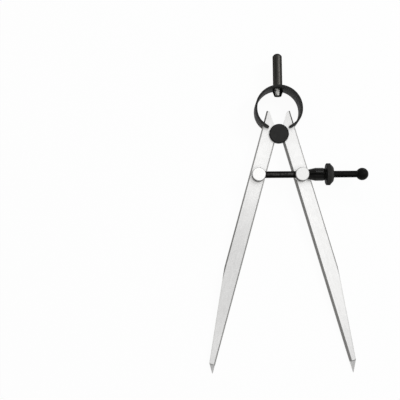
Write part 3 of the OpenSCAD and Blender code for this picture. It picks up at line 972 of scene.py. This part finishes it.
def make_bow():
    """Makes the two halves of the bow, from the crown to the fork, in place of the solid bow."""
    finish = bow_finish()
    halves = (("bow_spring_left", -1, "left_arm"), ("bow_spring_right", 1, "right_arm"))
    for name, side, arm in halves:
        half = bow_half(name, side)
        half.data.materials.append(finish)
        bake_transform(half)
        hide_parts("bow_spring")


# The knurled and threaded pieces

def stud_profile(low, crown, cone, top):
    """The blank of the stud, from its tenon in the bow to its domed tip."""
    band_r = STUD_R - 0.02
    tenon = [(low, 0.0), (low, STUD_TENON_R), (crown - 0.05, STUD_TENON_R)]
    foot = [(crown + 0.02, STUD_FOOT_R), (crown + 0.6, STUD_CORE_R), (crown + 1.1, STUD_CORE_R)]
    shank = [(crown + 1.25, STUD_CORE_R), (cone - 0.55, STUD_CORE_R)]
    band = [(cone - 0.4, band_r), (cone, band_r), (cone + 0.55, STUD_R - 0.38)]
    tip = [(top - 0.5, 1.75), (top - 0.18, 1.3), (top - 0.03, 0.7), (top, 0.0)]
    return tenon + foot + shank + band + tip


def make_stud():
    """The finger stud, with diamond teeth between its foot and its tip."""
    low, high = (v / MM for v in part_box("finger_stud"))
    crown, cone = BOW_CENTRE_Y + BOW_OUTER_R, high.y - STUD_CONE
    profile = stud_profile(low.y, crown, cone, high.y)
    stud = broken_edges(turned("finger_stud_knurled", profile), width=0.06)
    step, sunk, margin = 0.36, 0.02, 0.1
    knurl_low, knurl_high = crown + 1.4, cone - 0.6
    rows = int((knurl_high - knurl_low) / step)
    worked(stud, diamond_knurl_tree("stud_knurl", on_ball=False), {
        "Radius": STUD_CORE_R - sunk, "Start": knurl_low + margin, "Around": 26, "Rows": rows,
        "Step": step, "Height": STUD_R - STUD_CORE_R + sunk, "Material": stud_finish()})
    upright = Matrix.Translation((0, 0, LEG_MID_Z)) @ Matrix.Rotation(math.pi / 2, 4, "Z")
    placed(smoothed(stud), upright)
    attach(stud, "bow_frame")
    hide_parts("finger_stud")


def on_screw(x):
    """Places a piece that was turned about X on the axis of the screw."""
    return Matrix.Translation((x, POST_Y, SCREW_Z))


def make_screw():
    """The adjusting screw: a plain root with the thread round it."""
    low, high = (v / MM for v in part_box("adjusting_screw"))
    length = high.x - low.x
    overlap = 0.02
    root = SCREW_R - THREAD_DEPTH + overlap
    profile = [(0, 0), (0, root), (length, root), (length, 0)]
    screw = turned("adjusting_screw_threaded", profile, around=48)
    worked(screw, thread_tree(), {
        "Length": length, "Radius": SCREW_R, "Pitch": THREAD_PITCH, "Depth": THREAD_DEPTH,
        "Material": screw_finish()})
    placed(smoothed(screw), on_screw(low.x))
    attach(screw, "anchor_swivel")
    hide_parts("adjusting_screw")


def make_ball():
    """The end ball, with diamond teeth all over."""
    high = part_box("end_ball")[1] / MM
    centre = high.x - BALL_R
    steps = 40
    bends = [math.pi * k / steps for k in range(steps + 1)]
    profile = [(BALL_CORE_R * -math.cos(b), BALL_CORE_R * math.sin(b)) for b in bends]
    ball = turned("end_ball_knurled", profile, around=64)
    step, rows, sunk = 0.42, 21, 0.03
    worked(ball, diamond_knurl_tree("ball_knurl", on_ball=True), {
        "Radius": BALL_CORE_R - sunk, "Start": -step * (rows - 1) / 2, "Around": 26, "Rows": rows,
        "Step": step, "Height": BALL_R - BALL_CORE_R + sunk, "Material": ball_finish(centre)})
    placed(smoothed(ball), on_screw(centre))
    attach(ball, "anchor_swivel")
    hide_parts("end_ball")


def make_collar():
    """The thumb collar, bored for the tails of the jaws, with straight ridges round its rim."""
    low, high = (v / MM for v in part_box("thumb_collar"))
    back = high.x - low.x
    web = back - COLLAR_WEB
    profile = [
        (0, COLLAR_BORE_R), (0, COLLAR_FRONT_R), (COLLAR_BEVEL, COLLAR_CORE_R),
        (COLLAR_BEVEL + COLLAR_LAND, COLLAR_CORE_R), (back, COLLAR_REAR_R), (back, COLLAR_WEB_R),
        (web, COLLAR_WEB_R), (web, COLLAR_BORE_R)]
    collar = broken_edges(turned("thumb_collar_knurled", profile, bored=True), width=0.05)
    inset = 0.01
    worked(collar, straight_knurl_tree(), {
        "Crest Radius": COLLAR_R - inset, "Start": COLLAR_BEVEL, "Width": COLLAR_LAND,
        "Around": 64, "Material": collar_finish(low.x)})
    placed(smoothed(collar), on_screw(low.x))
    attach(collar, "thumb_nut")
    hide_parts("thumb_collar")


# Camera, floor and light

def make_camera():
    data = bpy.data.cameras.new("camera")
    data.lens, data.sensor_width = CAMERA_LENS, CAMERA_SENSOR
    data.clip_start, data.clip_end = 0.01, 20.0
    camera = bpy.data.objects.new("camera", data)
    camera.location = CAMERA_PLACE
    camera.rotation_euler = [math.radians(a) for a in CAMERA_TURN]
    scene.collection.objects.link(camera)
    scene.camera = camera


def floor_finish():
    """White where the camera or a reflection meets it, matt for the shadows, clear from below."""
    material = bpy.data.materials.new("floor_white")
    material.use_nodes = True
    material.cycles.emission_sampling = "NONE"
    tree = material.node_tree
    tree.nodes.clear()
    rays = tree.nodes.new("ShaderNodeLightPath").outputs
    mirrored = sums(tree, "MAXIMUM", rays["Is Glossy Ray"], rays["Is Transmission Ray"])
    seen = sums(tree, "MAXIMUM", rays["Is Camera Ray"], mirrored)
    share = times(tree, seen, FLOOR_WHITE_SHARE)
    matt = wired(tree, "ShaderNodeBsdfDiffuse", {"Color": FLOOR_GREY})
    white = wired(tree, "ShaderNodeEmission", {"Color": FLOOR_WHITE, "Strength": 1.0})
    lit = wired(tree, "ShaderNodeMixShader", {0: share, 1: matt.outputs[0], 2: white.outputs[0]})
    clear = wired(tree, "ShaderNodeBsdfTransparent")
    behind = tree.nodes.new("ShaderNodeNewGeometry").outputs["Backfacing"]
    both = wired(tree, "ShaderNodeMixShader", {0: behind, 1: lit.outputs[0], 2: clear.outputs[0]})
    wired(tree, "ShaderNodeOutputMaterial", {"Surface": both.outputs[0]})
    return material


def make_floor():
    """A round sweep that touches the bow's forked ends and both points."""
    steps = 12
    bends = [math.pi / 2 * k / steps for k in range(steps + 1)]
    profile = [
        (FLOOR_SWEEP_R * (1 - math.cos(b)), FLOOR_R + FLOOR_SWEEP_R * math.sin(b)) for b in bends]
    work = bmesh.new()
    rings = ringed(work, profile, around=96)
    work.faces.new(rings[0])
    for inner, outer in zip(rings, rings[1:]):
        bridge(work, outer, inner)
    floor = new_piece("floor", work)
    floor.data.transform(Matrix.Rotation(-math.pi / 2, 4, "Y"))
    floor.data.shade_smooth()
    floor.data.materials.append(floor_finish())
    floor.matrix_world = Matrix.Translation(FLOOR_PLACE) @ Matrix.Rotation(FLOOR_SLOPE, 4, "X")


def softbox(name, lamp, pieces=None):
    """A rectangular lamp aimed at the fulcrum, which lights everything or only the given pieces."""
    data = bpy.data.lights.new(name, "AREA")
    data.shape = "RECTANGLE"
    data.size, data.size_y, data.energy = lamp.width, lamp.height, lamp.watts
    light = bpy.data.objects.new(name, data)
    light.location = lamp.place
    light.rotation_euler = (-Vector(lamp.place)).to_track_quat("-Z", "Y").to_euler()
    light.light_linking.receiver_collection = pieces
    scene.collection.objects.link(light)


def legs_and_others():
    """Two groups for the lamps. Under the side lamps the posts would shade the legs."""
    legs, others = bpy.data.collections.new("legs"), bpy.data.collections.new("all_but_legs")
    for piece in scene.objects:
        if piece.type == "MESH":
            group = legs if piece.name in ("left_leg", "right_leg") else others
            group.objects.link(piece)
    return legs, others


def make_light():
    """One lamp for everything, one for the legs alone, two for the rest, and an even room."""
    world = bpy.data.worlds.new("studio")
    world.use_nodes = True
    background = world.node_tree.nodes["Background"].inputs
    background["Color"].default_value = (1, 1, 1, 1)
    background["Strength"].default_value = ROOM_LIGHT
    scene.world = world
    legs, others = legs_and_others()
    softbox("overhead", OVERHEAD)
    softbox("leg_fill", LEG_FILL, legs)
    softbox("right_lamp", RIGHT_LAMP, others)
    softbox("back_lamp", BACK_LAMP, others)
    scene.view_settings.view_transform = "Standard"


make_camera()
make_floor()
finish_solids()
make_bow()
make_stud()
make_screw()
make_ball()
make_collar()
make_light()
